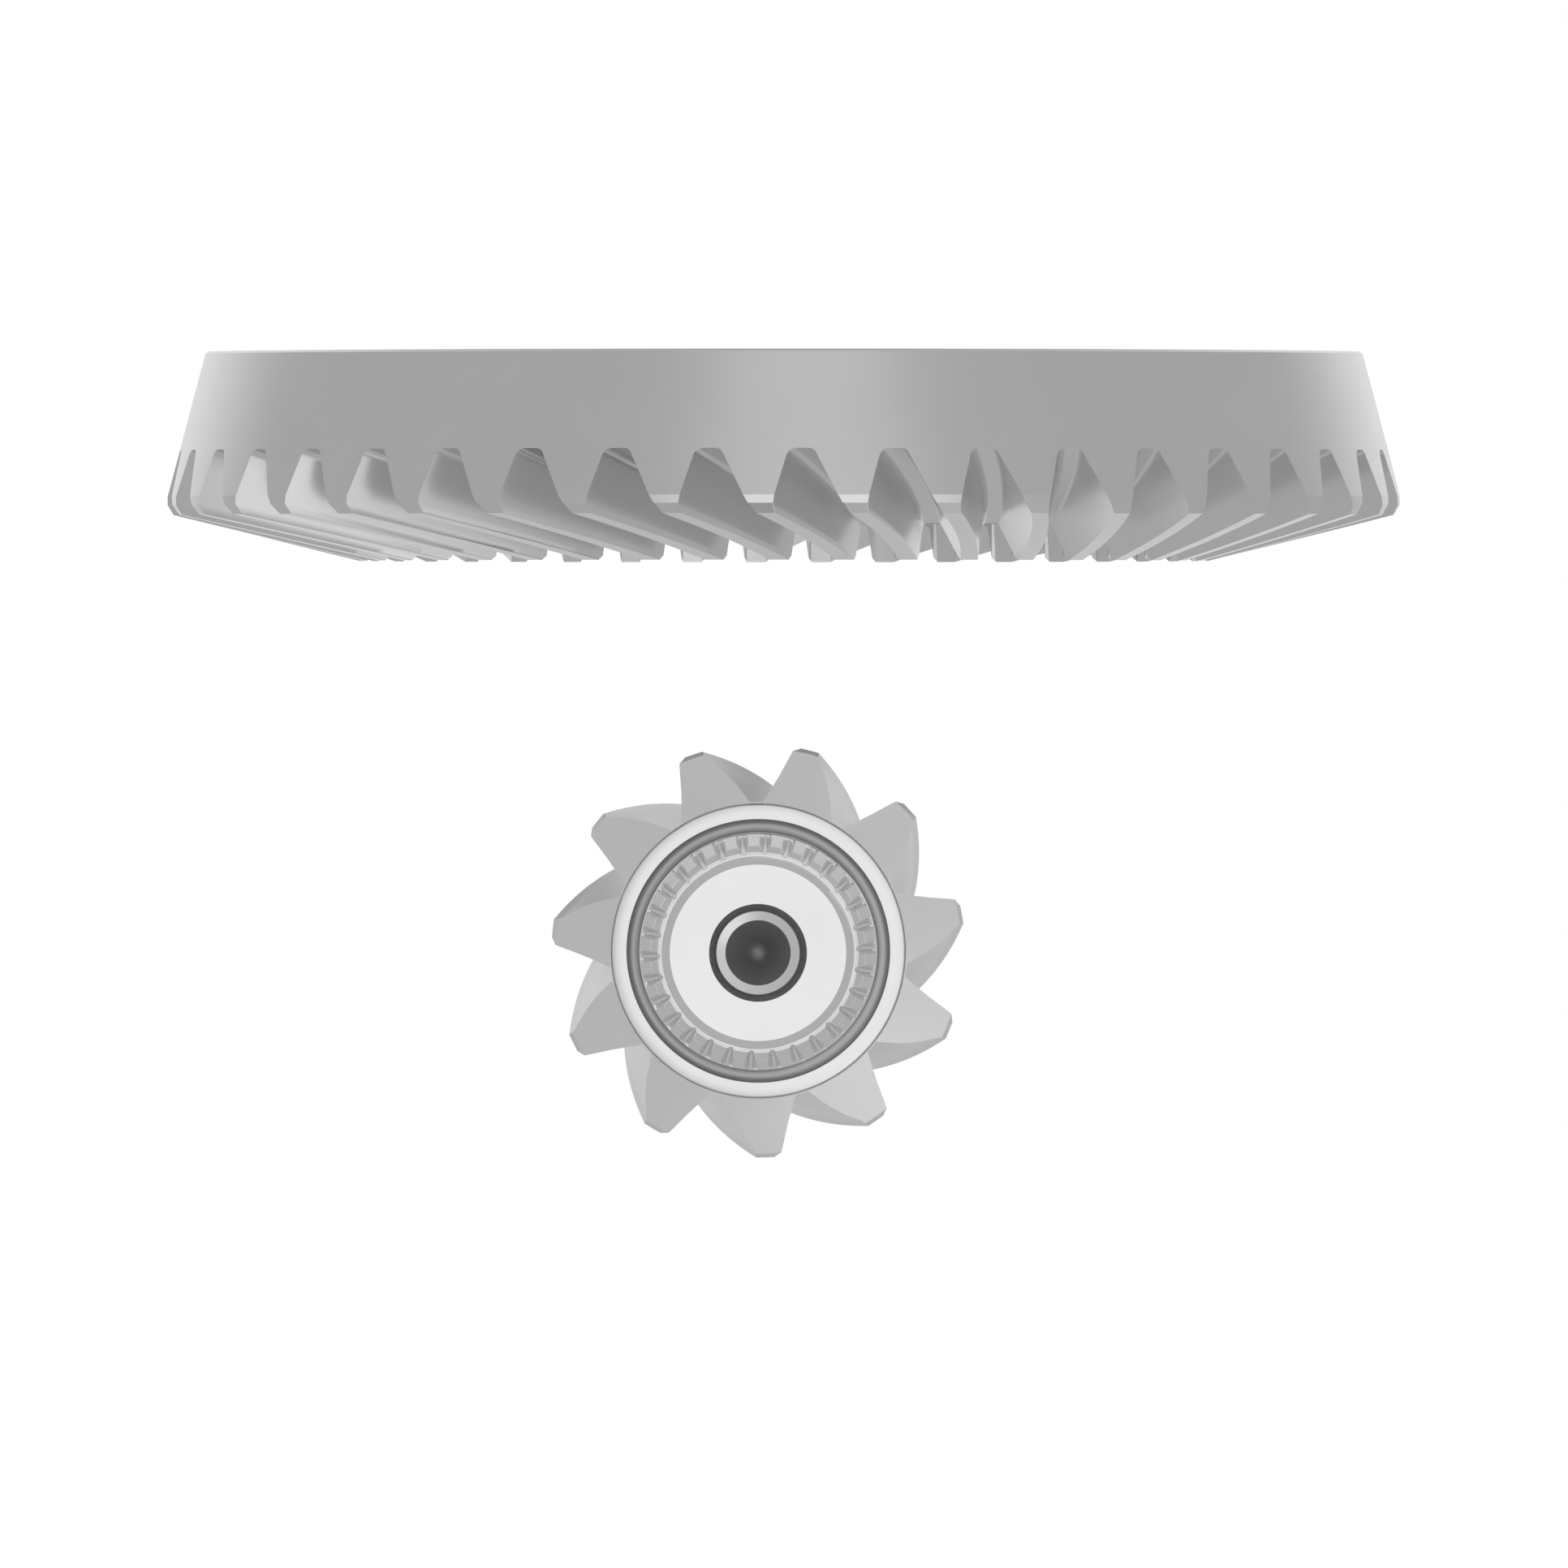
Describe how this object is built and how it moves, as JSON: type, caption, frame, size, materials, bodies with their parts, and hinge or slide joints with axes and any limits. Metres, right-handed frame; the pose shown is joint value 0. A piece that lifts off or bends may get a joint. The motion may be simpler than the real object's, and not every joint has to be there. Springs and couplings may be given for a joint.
{
  "type": "spiral bevel ring and pinion gear set",
  "caption": "Crown wheel with spiral teeth and conical rim, and a matching pinion on a splined shaft with its pilot bearing, drawn apart.",
  "frame": {"origin": "on the ring gear's axis, in the plane of its back face", "axes": "+Z along the ring's axis out of its back face, teeth facing -Z; the pinion's axis is parallel to Y, below the ring, with its splined shaft end towards -Y"},
  "size_m": [0.2164, 0.3723, 0.1409],
  "materials": {
    "gear_steel": "satin machined steel",
    "ground_steel": "ground bearing steel",
    "pressed_steel": "pressed spring steel"
  },
  "bodies": {
    "carrier": {"ring_thrust_washer": "pressed_steel"},
    "ring": {"ring_gear": "gear_steel"},
    "pilot_housing": {"pilot_outer_race": "ground_steel"},
    "pinion": {"pinion_shaft": "gear_steel", "pilot_inner_race": "ground_steel", "pilot_snap_ring": "pressed_steel"},
    "roller_cage": {"pilot_cage": "pressed_steel", "pilot_roller_01": "ground_steel", "pilot_roller_02": "ground_steel", "pilot_roller_03": "ground_steel", "pilot_roller_04": "ground_steel", "pilot_roller_05": "ground_steel", "pilot_roller_06": "ground_steel", "pilot_roller_07": "ground_steel", "pilot_roller_08": "ground_steel", "pilot_roller_09": "ground_steel", "pilot_roller_10": "ground_steel", "pilot_roller_11": "ground_steel", "pilot_roller_12": "ground_steel", "pilot_roller_13": "ground_steel"}
  },
  "joints": [
    {"name": "ring_spin", "type": "hinge", "parent": "carrier", "child": "ring", "pos_m": [0, 0, 0], "axis": [0, 0, 1], "continuous": true},
    {"name": "pinion_mesh_slide", "type": "slide", "parent": "carrier", "child": "pilot_housing", "axis": [0, 0, 1], "range_m": [0, 0.05]},
    {"name": "pinion_spin", "type": "hinge", "parent": "pilot_housing", "child": "pinion", "pos_m": [-0.00447, -0.065, -0.1049], "axis": [0, 1, 0], "continuous": true},
    {"name": "cage_spin", "type": "hinge", "parent": "pilot_housing", "child": "roller_cage", "pos_m": [-0.00447, -0.065, -0.1049], "axis": [0, 1, 0], "continuous": true}
  ],
  "couplings": [
    {"joint": "pinion_spin", "follows": "ring_spin", "ratio": 3.7273},
    {"joint": "cage_spin", "follows": "ring_spin", "ratio": 1.5809}
  ]
}
